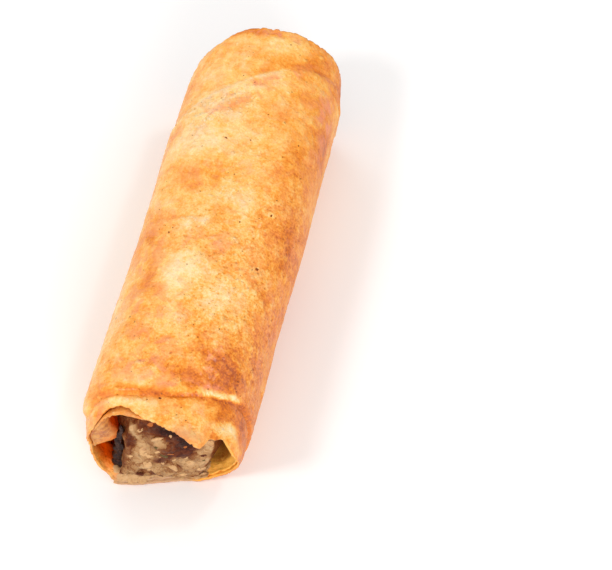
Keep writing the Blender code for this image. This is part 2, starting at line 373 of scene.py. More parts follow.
def rollSheet():
    # A flat grid of pastry, rolled up and given its thickness. Returns it with its points in millimetres,
    # the sheet angle of each, and which of them face outwards.
    s, r = sheetForm, crustRelief
    columns = [start + (end - start) * k / count for start, end, count in s["columns"] for k in range(count)]
    columns = np.array(columns + [s["columns"][-1][1]], float)
    even = np.linspace(0.0, 1.0, s["rows"] + 1)
    rows = even - s["rowCrowding"] * np.sin(2 * np.pi * even) / (2 * np.pi)
    deselectAll()
    bpy.ops.mesh.primitive_grid_add(
        x_subdivisions=len(columns) - 1, y_subdivisions=s["rows"], size=2.0, location=(0, 0, 0)
    )
    crust = bpy.context.active_object
    crust.name = crust.data.name = "wrapperCrust"
    flat = readPoints(crust.data)
    column = np.rint((flat[:, 0] + 1) / 2 * (len(columns) - 1)).astype(int)
    row = np.rint((flat[:, 1] + 1) / 2 * s["rows"]).astype(int)
    sheetAngle, share = columns[column], rows[row]
    rolled = sheetPoint(sheetAngle, share)

    # Its cut edges are ragged
    ragged = fractalNoise(rolled * [1, 0, 1] + [0, 30, 0], r["rimChipSize"], 3)
    atFront, atFar = smooth(0.02, 0.0, share), smooth(0.98, 1.0, share)
    rolled[:, 1] += r["rimChips"] * np.abs(ragged) * (atFront - atFar)
    writePoints(crust.data, rolled * mm)

    uv = crust.data.uv_layers.active.data
    corners = np.empty(len(crust.data.loops), int)
    crust.data.loops.foreach_get("vertex_index", corners)
    metres = np.stack([sheetAngle * roundTheRoll, rolled[:, 1]], axis=-1) * mm
    uv.foreach_set("uv", metres[corners].ravel())
    applyModifier(crust, "SOLIDIFY", "pastry thickness", thickness=s["ply"] * mm, offset=0.0)

    # The first half of the points is now one face of the sheet and the second half the other
    points = readPoints(crust.data) / mm
    half = len(points) // 2
    middle = (points[:half] + points[half:]) / 2
    thinning = s["rimThinning"] * nearRim(share)
    points += (np.tile(middle, (2, 1)) - points) * np.tile(thinning, 2)[:, None]
    writePoints(crust.data, points * mm)
    radii = np.hypot(points[:, 0], points[:, 2] - rollForm["height"] / 2)
    firstOutside = radii[:half].mean() > radii[half:].mean()
    outside = np.repeat([firstOutside, not firstOutside], half)
    return crust, points, np.tile(sheetAngle, 2), outside


def fryRelief(points, angle, rough):
    # Height of the fried surface over the outside of the crust, in millimetres
    r, y = crustRelief, points[:, 1]
    blisters = cellBumps(points, r["blisterSize"], 0.5, 1.5)
    pimples = cellBumps(points + 50.0, r["pimpleSize"], 0.55)
    grain = fractalNoise(points, r["grainSize"], 3)
    wrapped = [angle * roundTheRoll / r["wrinkleLength"], y / r["wrinkleWidth"], points[:, 2] * 0.05]
    wrinkles = fractalNoise(np.stack(wrapped, axis=-1), 1.0, 2)
    fromTurnEdge = y - edgeLine(angle)
    puckers = smooth(-5.5, -2.0, fromTurnEdge) * smooth(0.4, -0.6, fromTurnEdge)
    return (
        r["blisterHeight"] * blisters
        + r["pimpleHeight"] * pimples * rough
        + r["grainHeight"] * grain * (0.35 + rough)
        + (r["wrinkleHeight"] + r["gathered"] * puckers) * wrinkles
        + patchSum("blister", angle, y)
    )


def fitInto(points, node):
    # Sets the points into the space of a solid, both in millimetres
    low, high = (np.array(corner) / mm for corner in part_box(node))
    spare = 0.02
    size = points.max(axis=0) - points.min(axis=0)
    shrink = np.minimum(1.0, (high - low - 2 * spare) / size)
    print(node, "fitted to its solid, scaled by", np.round(shrink, 4))
    return (points - points.min(axis=0)) * shrink + (low + (high - low - size * shrink) * [0.5, 0.5, 0.0])


def markCrust(mesh, angle, sheetAngle, y, seen, rough, raised):
    # Attributes that the pastry's material reads
    s = sheetForm
    side = apart(angle, 0.0)
    browning = 0.15 * smooth(62.0, 22.0, side) * smooth(-95.0, -20.0, side)
    browning += 0.12 * smooth(70.0, 45.0, side) * smooth(30.0, 0.0, y) * smooth(-70.0, -20.0, side)
    # How deep each place is in the mouth, and which of it is the flap that hangs there; deeper in and
    # towards its end the flap's colour gives way to the painted glow and shade
    deep = np.clip(y - closedCurve(s["frontRim"], angle), 0.0, 12.0)
    flap = smooth(s["flapStart"] - 10.0, s["flapStart"] + 25.0, sheetAngle) * smooth(4.0, 1.8, deep)
    flap = flap * (0.35 + 0.65 * smooth(s["flapEnd"] - 1.0, s["flapEnd"] - 16.0, sheetAngle))
    pale = np.maximum((0.85 + 5.0 * raised) * flap, 0.35 * smooth(1.5, 0.3, deep))
    # Painted light: a bright ochre on the inner right wall, which lies in shade under the top crust, stands
    # in for the light that reaches it through the thin wall
    paintedLightWallRight = smooth(75.0, 55.0, np.abs(apart(angle, 340.0))) * smooth(9.0, 4.0, deep)
    # Painted glow and shade: deeper in the mouth, most of all in the left hollow, a deep orange that stands
    # in for light coming through the wall and for the shade in there
    leftHollow = smooth(60.0, 25.0, np.abs(apart(angle, 190.0)))
    glow = smooth(0.7 - 0.6 * leftHollow, 3.4 - 0.2 * leftHollow, deep) * (0.7 + 0.3 * leftHollow)
    # The lip that the filling lies on, and the inside under the filling, are tan where the juice has soaked
    # them, and that tan is partly painted shade under the filling
    rim = np.maximum(smooth(0.35, 0.0, deep), smooth(0.35, 0.0, closedCurve(s["farRim"], angle) - y))
    under = smooth(38.0, 26.0, np.abs(apart(angle, 264.0)))
    juicy = np.maximum(rim, ~seen) * under * smooth(6.0, 2.0, deep)
    marks = {
        "tone": np.where(seen, patchSum("tone", angle, y) + browning, 0.0),
        "pink": np.where(seen, patchSum("pink", angle, y), 0.0),
        "flaky": np.where(seen, np.clip(patchSum("flaky", angle, y), 0.0, 1.0), 0.0),
        "folded": np.where(seen, np.maximum(foldRelief(angle, y), 0.08), 0.15),
        "flap": np.where(seen, 0.0, pale),
        "ochre": np.where(seen, 0.0, paintedLightWallRight),
        "glow": np.where(seen, 0.0, glow * (1.0 - flap)),
        "juicy": np.maximum(juicy, seen * patchSum("juicy", angle, y)),
        "rough": rough,
        "raised": raised,
    }
    for name, values in marks.items():
        giveAttribute(mesh, name, values)


def makeWrapper():
    # The rolled sheet with its fried surface, set into the space of its solid
    crust, points, sheetAngle, outside = rollSheet()
    angle, y = sheetForm["seamAngle"] + sheetAngle, points[:, 1]
    seen = outside & (turnsOutside(sheetAngle) < 0.5)
    inner = ~seen
    rough = np.clip(patchSum("rough", angle, y) + 0.25, 0.0, 1.0)
    raised = np.zeros(len(points))
    raised[seen] = fryRelief(points[seen], angle[seen], rough[seen])
    raised[inner] = crustRelief["innerHeight"] * fractalNoise(points[inner], crustRelief["innerSize"], 3)
    onFloor = smooth(-0.75, -0.5, np.sin(np.radians(angle)))
    points += readNormals(crust.data) * (raised * np.where(seen, onFloor, 1.0))[:, None]
    writePoints(crust.data, fitInto(points, "wrapper") * mm)
    markCrust(crust.data, angle, sheetAngle, y, seen, rough, raised)
    crust.data.shade_smooth()
    print("wrapper rolled:", len(crust.data.polygons), "faces")
    return crust


def toLinear(hexColour):
    # sRGB hex to the linear colour that shaders take
    channels = [int(hexColour[k:k + 2], 16) / 255 for k in (1, 3, 5)]
    return tuple(c / 12.92 if c <= 0.04045 else ((c + 0.055) / 1.055) ** 2.4 for c in channels) + (1.0,)


def addNode(tree, kind, settings, links=None):
    # Adds a node, sets its values or inputs, and links its inputs to other nodes' outputs
    node = tree.nodes.new(kind)
    for name, value in settings.items():
        if name == "stops":
            while len(node.color_ramp.elements) < len(value):
                node.color_ramp.elements.new(0.5)
            for element, (place, hexColour) in zip(node.color_ramp.elements, value):
                element.position = place
                element.color = toLinear(hexColour)
        elif isinstance(name, int) or name in node.inputs:
            node.inputs[name].default_value = value
        else:
            setattr(node, name, value)
    for name, source in (links or {}).items():
        tree.links.new(source, node.inputs[name])
    return node


def newMaterial(name, values):
    # A material with these values set on its shader's sockets
    material = bpy.data.materials.new(name)
    material.use_nodes = True
    shader = material.node_tree.nodes["Principled BSDF"]
    for socket, value in values.items():
        shader.inputs[socket].default_value = value
    return material, material.node_tree, shader


def addDots(tree, vector, size, share, widest):
    # Separate dots of many widths, in the given share of the cells
    grid = addNode(tree, "ShaderNodeTexVoronoi", {"Scale": 1 / (size * mm)}, {"Vector": vector})
    width = addNode(
        tree, "ShaderNodeMapRange", {"From Min": 1.0 - share, "From Max": 0.8, "To Max": widest},
        {"Value": grid.outputs["Color"]},
    )
    return addNode(
        tree, "ShaderNodeMapRange", {"From Max": 0.0},
        {"Value": grid.outputs["Distance"], "From Min": width.outputs[0]},
    ).outputs[0]


def addPatterns(tree, total, parts):
    # Adds how far each pattern is from its mean, times its weight; parts are (pattern, weight, mean)
    for pattern, weight, mean in parts:
        share = addNode(
            tree, "ShaderNodeMath", {"operation": "MULTIPLY_ADD", 1: weight, 2: -weight * mean}, {0: pattern}
        )
        total = addNode(
            tree, "ShaderNodeMath", {"operation": "ADD"}, {0: total, 1: share.outputs[0]}
        ).outputs[0]
    return total


# Wheat sheet fried in oil: amber, blotched where it browned, creamy where it blistered, thinly oiled; the
# pale dots on the blister tips are painted highlights
crustFinish = {
    "colours": [
        (0.0, "#fcdca6"), (0.2, "#fbcf8a"), (0.38, "#f9bb62"), (0.56, "#f49c34"), (0.76, "#e0780c"),
        (1.0, "#b04e04"),
    ],
    "tone": 0.44,                  # place of plain crust in those colours
    # How much browner each pattern makes the crust, and its mean
    "weights": {
        "blotches": (0.6, 0.5), "clouds": (0.4, 0.5), "cells": (0.14, 0.45), "gritty mottles": (0.5, 0.0),
        "streaks": (0.12, 0.5), "gritty grain": (0.75, 0.0), "flakes": (-0.22, 0.1),
        "blisters": (-0.16, 0.15), "pitting": (0.26, 0.06), "raised": (-0.6, 0.07), "folded": (-0.4, 0.15),
    },
    # Bumps: (pattern, strength, depth in millimetres, inverted)
    "bumps": [
        ("grain", 0.8, 0.1, False), ("streaks", 0.8, 0.03, False), ("mottles", 1.0, 0.26, True),
        ("flakes", 1.0, 0.07, False), ("blisters", 1.0, 0.12, False), ("cells", 0.7, 0.25, True),
        ("pitting", 1.0, 0.18, True),
    ],
    "pink": "#ec8e64",
    "flush": 0.22,                 # of that pink everywhere
    "speck": "#8a4716",
    # painted glow and shade deep inside the mouth
    "glow": "#e24a00",
    "flap": "#ad5e34",
    # painted light on the inner right wall
    "ochre": "#ffb64c",
    # tan of pastry soaked with juice, partly painted shade under the filling
    "soakAndShadeTan": "#c89a70",
    # Noises: (size in millimetres, detail, roughness, distortion)
    "noises": {
        "blotches": (7.5, 2.0, 0.5, 0.8), "clouds": (2.8, 3.0, 0.55, 0.6), "mottles": (0.8, 4.0, 0.6, 0.3),
        "grain": (0.42, 2.0, 0.6, 0.0), "peeling": (1.5, 4.0, 0.65, 1.2), "blush": (3.2, 4.0, 0.6, 0.8),
        "uneven": (1.6, 4.0, 0.6, 0.6), "jitter": (1.0, 2.0, 0.5, 0.0),
    },
    "jitter": 0.9,                 # how far cells and blisters are shifted; millimetres, as are those below
    "cell": 1.7,
    "streakWidth": 0.6,
    "streakLength": 4.0,
    "pit": 0.8,
    "blister": 1.3,
    "speckSpacing": 2.6,
    "roughness": 0.5,
    "oil": 0.16,
    "shader": {
        "Subsurface Weight": 0.06, "Subsurface Radius": (1.0, 0.4, 0.1), "Subsurface Scale": 1.2 * mm,
        "Coat Roughness": 0.2, "Coat IOR": 1.46,
    },
}


def friedPastry():
    f = crustFinish
    material, tree, shader = newMaterial("Fried wheat pastry", f["shader"])
    place = addNode(tree, "ShaderNodeTexCoord", {}).outputs["Object"]
    sheet = addNode(tree, "ShaderNodeUVMap", {"uv_map": "UVMap"}).outputs["UV"]
    tone, pink, flaky, rough, raised, folded, glow, flap, ochre, juicy = (
        addNode(tree, "ShaderNodeAttribute", {"attribute_name": name}).outputs["Fac"]
        for name in ("tone", "pink", "flaky", "rough", "raised", "folded", "glow", "flap", "ochre", "juicy")
    )

    noises = {}
    for name, (size, detail, roughness, distortion) in f["noises"].items():
        noises[name] = addNode(
            tree, "ShaderNodeTexNoise",
            {"Scale": 1 / (size * mm), "Detail": detail, "Roughness": roughness, "Distortion": distortion},
            {"Vector": place},
        ).outputs
    patterns = {name: outputs["Fac"] for name, outputs in noises.items()}
    patterns.update(raised=raised, folded=folded)
    # The smallest mottling is stronger where the crust is rough
    strength = addNode(tree, "ShaderNodeMath", {"operation": "MULTIPLY_ADD", 1: 0.7, 2: 0.32}, {0: rough})
    for name in ("mottles", "grain"):
        off = addNode(tree, "ShaderNodeMath", {"operation": "SUBTRACT", 1: 0.5}, {0: patterns[name]})
        patterns["gritty " + name] = addNode(
            tree, "ShaderNodeMath", {"operation": "MULTIPLY"}, {0: off.outputs[0], 1: strength.outputs[0]}
        ).outputs[0]
    # Crisp pale flakes where the top layer has come away, and little pits where the crust is rough
    peeled = addNode(
        tree, "ShaderNodeMapRange", {"From Min": 0.53, "From Max": 0.57}, {"Value": patterns["peeling"]}
    )
    for name, pattern, where in (
        ("flakes", peeled.outputs[0], flaky), ("pitting", addDots(tree, place, f["pit"], 0.5, 0.4), rough),
    ):
        patterns[name] = addNode(
            tree, "ShaderNodeMath", {"operation": "MULTIPLY"}, {0: pattern, 1: where}
        ).outputs[0]
    # Pale blisters nearly everywhere, on cells jittered so that they aren't perfectly round; they are real
    # bumps, but their paleness is a painted highlight on their tips
    shifted = addNode(
        tree, "ShaderNodeVectorMath", {"operation": "MULTIPLY_ADD", 1: (f["jitter"] * mm,) * 3},
        {0: noises["jitter"]["Color"], 2: place},
    ).outputs[0]
    patterns["blisters"] = addDots(tree, shifted, f["blister"], 0.6, 0.55)
    patterns["cells"] = addNode(
        tree, "ShaderNodeTexVoronoi",
        {"feature": "SMOOTH_F1", "Scale": 1 / (f["cell"] * mm), "Smoothness": 0.35}, {"Vector": shifted},
    ).outputs["Distance"]
    # Fine streaks round the roll
    stretched = addNode(
        tree, "ShaderNodeMapping",
        {"Scale": (1 / (f["streakLength"] * mm), 1 / (f["streakWidth"] * mm), 1.0)}, {"Vector": sheet},
    )
    patterns["streaks"] = addNode(
        tree, "ShaderNodeTexNoise", {"Scale": 1.0, "Detail": 3.0, "Roughness": 0.55, "Distortion": 0.4},
        {"Vector": stretched.outputs["Vector"]},
    ).outputs["Fac"]
    total = addNode(tree, "ShaderNodeMath", {"operation": "ADD", 1: f["tone"]}, {0: tone}).outputs[0]
    total = addPatterns(tree, total, [(patterns[name], *pair) for name, pair in f["weights"].items()])
    colour = addNode(tree, "ShaderNodeValToRGB", {"stops": f["colours"]}, {"Fac": total}).outputs["Color"]
    # The pink comes in blushes. The flap's front is pale and patchy.
    blush = addNode(
        tree, "ShaderNodeMapRange", {"From Min": 0.45, "From Max": 0.62}, {"Value": patterns["blush"]}
    )
    flush = addNode(
        tree, "ShaderNodeMath", {"operation": "ADD", 1: f["flush"], "use_clamp": True}, {0: pink}
    )
    blushed = addNode(
        tree, "ShaderNodeMath", {"operation": "MULTIPLY"}, {0: flush.outputs[0], 1: blush.outputs[0]}
    )
    uneven = addNode(
        tree, "ShaderNodeMapRange", {"From Min": 0.35, "From Max": 0.6, "To Min": 0.45, "To Max": 1.1},
        {"Value": patterns["uneven"]},
    )
    patchy = addNode(
        tree, "ShaderNodeMath", {"operation": "MULTIPLY", "use_clamp": True},
        {0: flap, 1: uneven.outputs[0]},
    )
    # Brown specks of scorched flour
    spots = addNode(
        tree, "ShaderNodeTexVoronoi", {"Scale": 1 / (f["speckSpacing"] * mm)}, {"Vector": place}
    )
    speck = addNode(
        tree, "ShaderNodeMapRange", {"From Min": 0.085, "From Max": 0.045, "To Max": 0.75},
        {"Value": spots.outputs["Distance"]},
    )
    rare = addNode(
        tree, "ShaderNodeMath", {"operation": "GREATER_THAN", 1: 0.7}, {0: spots.outputs["Color"]}
    )
    speckled = addNode(
        tree, "ShaderNodeMath", {"operation": "MULTIPLY"}, {0: speck.outputs[0], 1: rare.outputs[0]}
    )
    # Each tint lies over those before it. Inside the mouth the deep glowing orange is painted light and
    # shade:
    # it stands in for the light that comes through the oil-soaked pastry and for the shade deep in there.
    # The ochre on the inner right wall is painted light as well, and the tan under the filling is the juice
    # that has soaked the lip together with painted shade.
    for mask, name in (
        (blushed.outputs[0], "pink"), (glow, "glow"), (patchy.outputs[0], "flap"), (ochre, "ochre"),
        (juicy, "soakAndShadeTan"), (speckled.outputs[0], "speck"),
    ):
        colour = addNode(
            tree, "ShaderNodeMix", {"data_type": "RGBA", 7: toLinear(f[name])}, {0: mask, 6: colour}
        ).outputs[2]
    tree.links.new(colour, shader.inputs["Base Color"])

    normal = None
    for name, steepness, depth, inverted in f["bumps"]:
        normal = addNode(
            tree, "ShaderNodeBump", {"Strength": steepness, "Distance": depth * mm, "invert": inverted},
            {"Height": patterns[name], **({"Normal": normal} if normal else {})},
        ).outputs["Normal"]
    tree.links.new(normal, shader.inputs["Normal"])
    dullness = addNode(
        tree, "ShaderNodeMapRange", {"To Min": f["roughness"] - 0.14, "To Max": f["roughness"] + 0.16},
        {"Value": patterns["mottles"]},
    )
    tree.links.new(dullness.outputs[0], shader.inputs["Roughness"])
    # The oil shines most where the crust is rough, and not at all inside the mouth
    dry = addNode(tree, "ShaderNodeMath", {"operation": "SUBTRACT", 0: 1.0}, {1: glow})
    shine = addNode(
        tree, "ShaderNodeMath", {"operation": "MULTIPLY_ADD", 1: 0.3, 2: f["oil"]}, {0: rough}
    )
    oiled = addNode(
        tree, "ShaderNodeMath", {"operation": "MULTIPLY"}, {0: shine.outputs[0], 1: dry.outputs[0]}
    )
    tree.links.new(oiled.outputs[0], shader.inputs["Coat Weight"])
    level = addNode(tree, "ShaderNodeMath", {"operation": "MULTIPLY", 1: 0.22}, {0: dry.outputs[0]})
    tree.links.new(level.outputs[0], shader.inputs["Specular IOR Level"])
    return material


# Cooked mince with chopped mushroom: pale tan meat, purple-brown and grey where the mushroom lies
fillingForm = {
    "voxel": 0.36,
    "lumpSize": 2.3,
    "lumpHeight": 0.75,
    "crumbSize": 0.85,
    "crumbHeight": 0.24,
    "faceReach": 7.0,              # how far behind each face its lumps fade out
}
# Colour of the mouth's face: (x, z, half width, half height, amount); above 0 is dark mushroom, below pale.
# The dark patches along the top, under the wrapper's lip, are partly painted shade, and the wide pale band
# along the bottom is partly painted light.
facePatches = [
    (-0.4, 19, 3.4, 1.8, 0.8), (3, 18, 3, 1.6, 0.9), (5.4, 16.5, 2.4, 1.5, 0.9),
    (3.4, 12.6, 2.4, 1.7, 0.9), (4.9, 14.4, 2.6, 2.2, 0.8), (6.7, 15.4, 1.6, 1.8, 0.8),
    (1.2, 17.8, 2.4, 1.5, 0.6), (-5.3, 12.4, 1, 3.2, 0.6), (0.4, 9.6, 1.4, 1, 0.7),
    (-5.6, 15, 0.9, 2.2, 0.6), (-3.2, 20.6, 1.8, 1.2, 0.6), (-7.4, 9, 1, 5, 1.1), (-1.2, 4.4, 2, 1, 0.5),
    (3, 7, 1.6, 0.8, 0.5), (-4, 4.6, 1.2, 1.2, 0.4), (-5.8, 19.4, 0.8, 1.3, -0.8),
    (-5, 18, 0.8, 1.3, -0.8), (-4.2, 16.5, 0.8, 1.3, -0.8), (-3.4, 14.5, 0.9, 1.6, -0.5),
    (-2.8, 11.5, 1.5, 2, -0.5), (-0.5, 15.6, 1.5, 1.3, -0.7), (-2.5, 7.6, 1.8, 1.5, -0.6),
    (5.7, 8.4, 2.6, 1.5, -0.7), (8, 13.5, 1.6, 2.4, -0.6), (1.6, 6.8, 1.8, 1, -0.5),
    (1, 4.6, 6, 1.2, -0.3),
]


def makeFilling():
    # The filling's solid, remeshed finely, with its two faces made lumpy
    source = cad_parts["filling"]
    mince = bpy.data.objects.new("mincedFilling", source.data.copy())
    bpy.context.scene.collection.objects.link(mince)
    mince.data.name = "mincedFilling"
    makeActive(mince)
    bpy.ops.object.mode_set(mode="EDIT")
    bpy.ops.mesh.select_all(action="SELECT")
    bpy.ops.mesh.remove_doubles(threshold=0.00001)
    bpy.ops.mesh.normals_make_consistent(inside=False)
    bpy.ops.object.mode_set(mode="OBJECT")
    mince.data.materials.clear()
    f = fillingForm
    applyModifier(mince, "REMESH", "fine faces", mode="VOXEL", voxel_size=f["voxel"] * mm)
    mesh = mince.data
    points = readPoints(mesh) / mm
    normals = readNormals(mesh)
    low, high = (np.array(corner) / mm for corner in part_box("filling"))
    y = points[:, 1]
    atFace = np.maximum(
        smooth(low[1] + f["faceReach"], low[1] + 1.5, y), smooth(high[1] - f["faceReach"], high[1] - 1.5, y)
    )
    lumps = fractalNoise(points, f["lumpSize"], 2)
    pieces = cellBumps(points + 20.0, f["lumpSize"], 0.8)
    crumbs = fractalNoise(points, f["crumbSize"], 3)
    height = f["lumpHeight"] * (0.6 * lumps + pieces - 0.45) + f["crumbHeight"] * crumbs
    facing = np.abs(normals[:, 1])
    points += normals * (height * atFace * (0.35 + 0.65 * facing))[:, None]
    points = np.clip(points, low + 0.01, high - 0.01)
    writePoints(mesh, points * mm)
    mushroomAndShade = np.zeros(len(points))
    for x, z, wide, tall, amount in facePatches:
        mushroomAndShade += amount * np.exp(-(((points[:, 0] - x) / wide) ** 2) - ((points[:, 2] - z) / tall) ** 2)
    front = smooth(0.0, -20.0, y)
    skin = smooth(0.8, 0.3, facing)
    giveAttribute(mesh, "mushroom", mushroomAndShade * front * (1 - skin) + 0.3 * skin)
    giveAttribute(mesh, "raised", lumps * 0.5 + pieces)
    mesh.shade_smooth()
    print("filling shaped:", len(mesh.polygons), "faces")
    return mince


fillingFinish = {
    "bits": [
        (0.0, "#c69e70"), (0.2, "#b2875a"), (0.34, "#9b6e44"), (0.44, "#84502b"), (0.52, "#6e3615"),
        (0.68, "#5a2812"), (0.86, "#451e13"), (1.0, "#2a120c"),
    ],
    "grey": "#6b5040",
    "bitSize": 1.7,                # millimetres
    "jitter": 2.2,                 # how far the bits are shifted, in millimetres
    # Noises: (size in millimetres, detail, roughness, distortion)
    "noises": {
        "jitter": (1.3, 3.0, 0.6, 0.0), "patches": (4.5, 2.0, 0.5, 0.5), "fibres": (0.5, 4.0, 0.65, 0.7),
    },
    "shader": {
        "Roughness": 0.5, "Specular IOR Level": 0.08, "Coat Weight": 0.05, "Coat Roughness": 0.14,
        "Subsurface Weight": 0.12, "Subsurface Radius": (1.0, 0.5, 0.3), "Subsurface Scale": 0.7 * mm,
    },
}


def cookedMince():
    f = fillingFinish
    material, tree, shader = newMaterial("Cooked pork and mushroom mince", f["shader"])
    place = addNode(tree, "ShaderNodeTexCoord", {}).outputs["Object"]
    mushroom, raised = (
        addNode(tree, "ShaderNodeAttribute", {"attribute_name": name}).outputs["Fac"]
        for name in ("mushroom", "raised")
    )
    noises = {}
    for name, (size, detail, roughness, distortion) in f["noises"].items():
        noises[name] = addNode(
            tree, "ShaderNodeTexNoise",
            {"Scale": 1 / (size * mm), "Detail": detail, "Roughness": roughness, "Distortion": distortion},
            {"Vector": place},
        ).outputs
    patches, fibres = noises["patches"]["Fac"], noises["fibres"]["Fac"]
    shifted = addNode(
        tree, "ShaderNodeVectorMath", {"operation": "MULTIPLY_ADD", 1: (f["jitter"] * mm,) * 3},
        {0: noises["jitter"]["Color"], 2: place},
    ).outputs[0]
    bits, gaps = (
        addNode(
            tree, "ShaderNodeTexVoronoi", {"feature": feature, "Scale": 1 / (f["bitSize"] * mm)},
            {"Vector": shifted},
        ).outputs[output]
        for feature, output in (("F1", "Color"), ("DISTANCE_TO_EDGE", "Distance"))
    )
    # Each bit has its own colour, darker where mushroom lies and in the seams; the mushroom mark also
    # carries the face's painted shade under the wrapper's lip
    total = addNode(
        tree, "ShaderNodeMath", {"operation": "MULTIPLY_ADD", 1: 0.42, 2: 0.3}, {0: mushroom}
    ).outputs[0]
    parts = ((bits, 0.3, 0.5), (patches, 0.6, 0.5), (fibres, 0.4, 0.5), (raised, -0.08, 0.4))
    total = addPatterns(tree, total, parts)
    seams = addNode(
        tree, "ShaderNodeMapRange", {"From Max": 0.07, "To Min": 0.16, "To Max": 0.0}, {"Value": gaps}
    )
    total = addNode(tree, "ShaderNodeMath", {"operation": "ADD"}, {0: total, 1: seams.outputs[0]}).outputs[0]
    colour = addNode(tree, "ShaderNodeValToRGB", {"stops": f["bits"]}, {"Fac": total}).outputs["Color"]
    greyness = addNode(
        tree, "ShaderNodeMapRange", {"From Min": 0.54, "From Max": 0.66, "To Max": 0.35},
        {"Value": noises["jitter"]["Fac"]},
    )
    greyed = addNode(
        tree, "ShaderNodeMix", {"data_type": "RGBA", 7: toLinear(f["grey"])},
        {0: greyness.outputs[0], 6: colour},
    )
    tree.links.new(greyed.outputs[2], shader.inputs["Base Color"])
    seamBump = addNode(tree, "ShaderNodeBump", {"Strength": 0.7, "Distance": 0.35 * mm}, {"Height": gaps})
    fibreBump = addNode(
        tree, "ShaderNodeBump", {"Strength": 0.8, "Distance": 0.22 * mm},
        {"Height": fibres, "Normal": seamBump.outputs["Normal"]},
    )
    tree.links.new(fibreBump.outputs["Normal"], shader.inputs["Normal"])
    return material


def treeOf(thing):
    # Search tree over a finished piece, for laying smaller things on it
    mesh = thing.data
    return BVHTree.FromPolygons([v.co for v in mesh.vertices], [p.vertices for p in mesh.polygons])


def onEnd(tree, x, z, end):
    # Place and outward normal on the filling's front face (end -1) or far face (1), from roll millimetres
    start = Vector((x, 60.0 * end, z)) * mm + rollShift
    spot, normal, _, _ = tree.ray_cast(start, Vector((0.0, -end, 0.0)))
    return spot, normal


def modelLump(name, roughness, seed):
    # One small irregular lump, a millimetre across
    deselectAll()
    bpy.ops.mesh.primitive_ico_sphere_add(subdivisions=3, radius=0.5 * mm, location=(0, 0, 0))
    lump = bpy.context.active_object
    lump.name = name
    points = readPoints(lump.data) / mm
    swell = fractalNoise(points + seed, 0.55, 2)
    writePoints(lump.data, points * (1.0 + roughness * swell)[:, None] * mm)
    lump.data.shade_smooth()
    return lump


def copyOf(model):
    # A copy with its own mesh
    copy = model.copy()
    copy.data = model.data.copy()
    bpy.context.scene.collection.objects.link(copy)
    return copy


def layFlat(model, spot, normal, spin, size):
    # A copy of the model with its flat side on the surface
    copy = copyOf(model)
    turn = normal.to_track_quat("Z", "Y").to_matrix().to_4x4() @ Matrix.Rotation(spin, 4, "Z")
    copy.matrix_world = Matrix.Translation(spot) @ turn @ Matrix.Diagonal((*size, 1.0))
    return copy


def joinAll(things, name, models):
    # Joins copies into one piece, with their places set into the mesh, and removes their models
    deselectAll()
    for thing in things:
        thing.select_set(True)
    bpy.context.view_layer.objects.active = things[0]
    bpy.ops.object.join()
    whole = bpy.context.active_object
    bpy.ops.object.transform_apply(location=True, rotation=True, scale=True)
    whole.name = whole.data.name = name
    for model in models:
        bpy.data.objects.remove(model)
    return whole


def plainFood(name, colours, size, roughness, gloss):
    # Mottled food colour: two or three colours mixed by noise of the given size in millimetres
    material, tree, shader = newMaterial(name, {
        "Roughness": roughness, "Specular IOR Level": 0.1, "Coat Weight": gloss, "Coat Roughness": 0.12,
    })
    place = addNode(tree, "ShaderNodeTexCoord", {}).outputs["Object"]
    mottle = addNode(
        tree, "ShaderNodeTexNoise",
        {"Scale": 1 / (size * mm), "Detail": 4.0, "Roughness": 0.6, "Distortion": 0.5}, {"Vector": place},
    ).outputs["Fac"]
    stops = [(0.3 + 0.4 * k / (len(colours) - 1), colour) for k, colour in enumerate(colours)]
    ramp = addNode(tree, "ShaderNodeValToRGB", {"stops": stops}, {"Fac": mottle})
    tree.links.new(ramp.outputs["Color"], shader.inputs["Base Color"])
    bump = addNode(tree, "ShaderNodeBump", {"Strength": 0.8, "Distance": 0.15 * mm}, {"Height": mottle})
    tree.links.new(bump.outputs["Normal"], shader.inputs["Normal"])
    return material


def layOn(piece, material):
    piece.data.materials.clear()
    piece.data.materials.append(material)
    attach(piece, "root")
    print(piece.name, len(piece.data.polygons), "faces")


# Bits in the mouth's face: (x, z, length, width, thickness, turn in degrees). Besides them there are loose
# ones on either face, and crumbs spilled on the mouth's lower lip. The food is (name, colours, size of its
# mottling in millimetres, roughness, gloss).
mushroomBits = {
    "front": [
        (2.9, 18.2, 3.6, 1.8, 0.7, -35), (5.4, 16.6, 3, 1.7, 0.7, -40), (-0.2, 19.6, 3, 1.5, 0.6, -20),
        (3.4, 12.5, 3.6, 2, 0.7, 15), (5.2, 12.9, 2, 1.6, 0.6, 60), (0.4, 9.6, 2.4, 1.2, 0.6, 10),
        (-3.4, 20.8, 1.6, 1.2, 0.6, -30), (-5.4, 14.4, 1.2, 2.4, 0.6, 5), (-1.2, 3.9, 3, 0.9, 0.5, -10),
        (3, 7.2, 1.8, 0.8, 0.5, -20), (-3.9, 4.2, 1.8, 1, 0.5, 20), (1.8, 15.4, 1.4, 0.9, 0.5, 70),
        (7.2, 11, 1.3, 0.8, 0.4, 0),
    ],
    "looseFront": 0,
    "looseFar": 26,
    "onLip": 0,
    "seed": 3.0,
    "rugged": 0.45,
    "sunk": 0.4,                   # of their thickness
    "food": ("Braised mushroom", ["#3a160b", "#55230f", "#6c381d"], 1.1, 0.5, 0.06),
}
